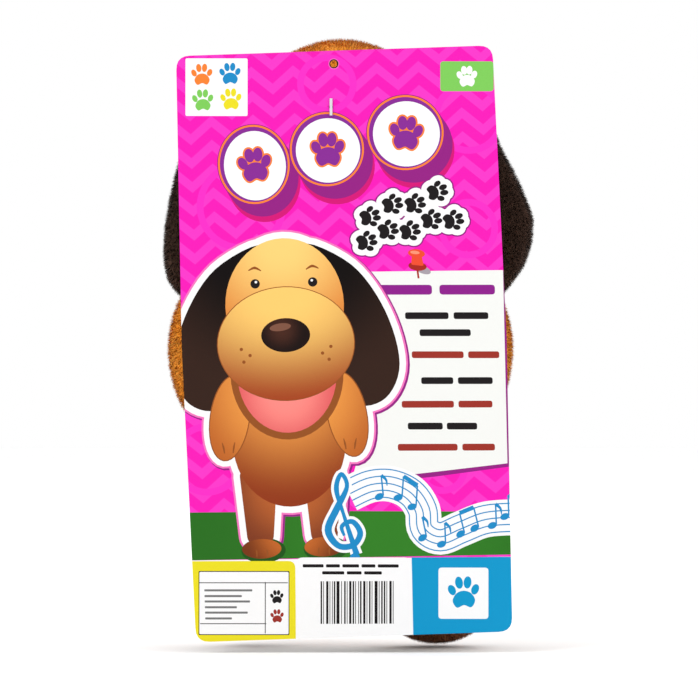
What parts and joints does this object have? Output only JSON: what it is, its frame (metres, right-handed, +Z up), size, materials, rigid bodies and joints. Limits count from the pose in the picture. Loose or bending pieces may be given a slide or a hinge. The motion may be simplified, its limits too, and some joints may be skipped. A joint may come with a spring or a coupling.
{
  "type": "plush dog hand puppet on a backing card",
  "caption": "Tan plush dog hand puppet with a moving mouth, dark ears and brown feet, tied by a plastic tag pin behind a printed backing card with a hang hole.",
  "frame": {"origin": "centre of the hand opening, in the plane of the hem", "axes": "+Z up along the sleeve to the head, +Y the way the puppet looks, -Y out of the printed side of the card"},
  "size_m": [0.1811, 0.1157, 0.286],
  "materials": {
    "tan_plush": null,
    "dark_brown_plush": null,
    "brown_plush": null,
    "nose_plush": null,
    "pink_lining": null,
    "lining_cloth": null,
    "stuffing": null,
    "board": null,
    "printed_card": null,
    "eye_plastic": null,
    "washer_plastic": null,
    "tag_plastic": null
  },
  "bodies": {
    "torso": {"front_panel": "tan_plush", "back_panel": "tan_plush", "hand_lining": "lining_cloth", "hem_band": "tan_plush", "neck_barrel": "tan_plush"},
    "head": {"head_back": "tan_plush", "head_face": "tan_plush", "head_stuffing": "stuffing", "muzzle": "tan_plush", "muzzle_stuffing": "stuffing", "nose": "nose_plush", "palate": "pink_lining", "palate_board": "board", "finger_pocket": "lining_cloth", "eye_left": "eye_plastic", "eye_right": "eye_plastic", "eye_washer_left": "washer_plastic", "eye_washer_right": "washer_plastic"},
    "jaw": {"jaw": "tan_plush", "jaw_stuffing": "stuffing", "jaw_board": "board", "mouth_lining": "pink_lining", "thumb_pocket": "lining_cloth"},
    "ear_left": {"ear_left": "dark_brown_plush", "ear_left_inner": "dark_brown_plush"},
    "ear_right": {"ear_right": "dark_brown_plush", "ear_right_inner": "dark_brown_plush"},
    "arm_left": {"arm_left": "tan_plush", "arm_left_stuffing": "stuffing"},
    "arm_right": {"arm_right": "tan_plush", "arm_right_stuffing": "stuffing"},
    "leg_left": {"leg_left": "tan_plush", "foot_left": "brown_plush", "leg_left_stuffing": "stuffing"},
    "leg_right": {"leg_right": "tan_plush", "foot_right": "brown_plush", "leg_right_stuffing": "stuffing"},
    "tag": {"tag_pin": "tag_plastic"},
    "card": {"backing_card": "printed_card"}
  },
  "joints": [
    {"name": "head_nod", "type": "hinge", "parent": "torso", "child": "head", "pos_m": [0, 0.001, 0.131], "axis": [-1, 0, 0], "range_deg": [0, 18], "stiffness_Nm_per_rad": 8},
    {"name": "jaw_open", "type": "hinge", "parent": "head", "child": "jaw", "pos_m": [0, 0.031, 0.15], "axis": [-1, 0, 0], "range_deg": [-11.5, 20], "stiffness_Nm_per_rad": 1.2},
    {"name": "ear_left_flap", "type": "hinge", "parent": "head", "child": "ear_left", "pos_m": [-0.05703, 0.016, 0.203], "axis": [0, 1, 0], "range_deg": [0, 60], "stiffness_Nm_per_rad": 0.8},
    {"name": "ear_right_flap", "type": "hinge", "parent": "head", "child": "ear_right", "pos_m": [0.05703, 0.016, 0.203], "axis": [0, -1, 0], "range_deg": [0, 60], "stiffness_Nm_per_rad": 0.8},
    {"name": "arm_left_raise", "type": "hinge", "parent": "torso", "child": "arm_left", "pos_m": [-0.04413, -0.012, 0.126], "axis": [0, 1, 0], "range_deg": [0, 60], "stiffness_Nm_per_rad": 1},
    {"name": "arm_right_raise", "type": "hinge", "parent": "torso", "child": "arm_right", "pos_m": [0.04413, -0.012, 0.126], "axis": [0, -1, 0], "range_deg": [0, 60], "stiffness_Nm_per_rad": 1},
    {"name": "leg_left_swing", "type": "hinge", "parent": "torso", "child": "leg_left", "pos_m": [-0.0455, 0.02551, 0.012], "axis": [1, 0, 0], "range_deg": [-15, 60], "stiffness_Nm_per_rad": 1},
    {"name": "leg_right_swing", "type": "hinge", "parent": "torso", "child": "leg_right", "pos_m": [0.0455, 0.02551, 0.012], "axis": [1, 0, 0], "range_deg": [-10, 80], "stiffness_Nm_per_rad": 1},
    {"name": "card_lift", "type": "hinge", "parent": "head", "child": "tag", "pos_m": [-0.00468, -0.02162, 0.21525], "axis": [-1, 0, 0], "range_deg": [0, 25]},
    {"name": "card_swing", "type": "hinge", "parent": "tag", "child": "card", "pos_m": [-0.00468, -0.0268, 0.21525], "axis": [0, 1, 0], "range_deg": [-15, 15]}
  ]
}
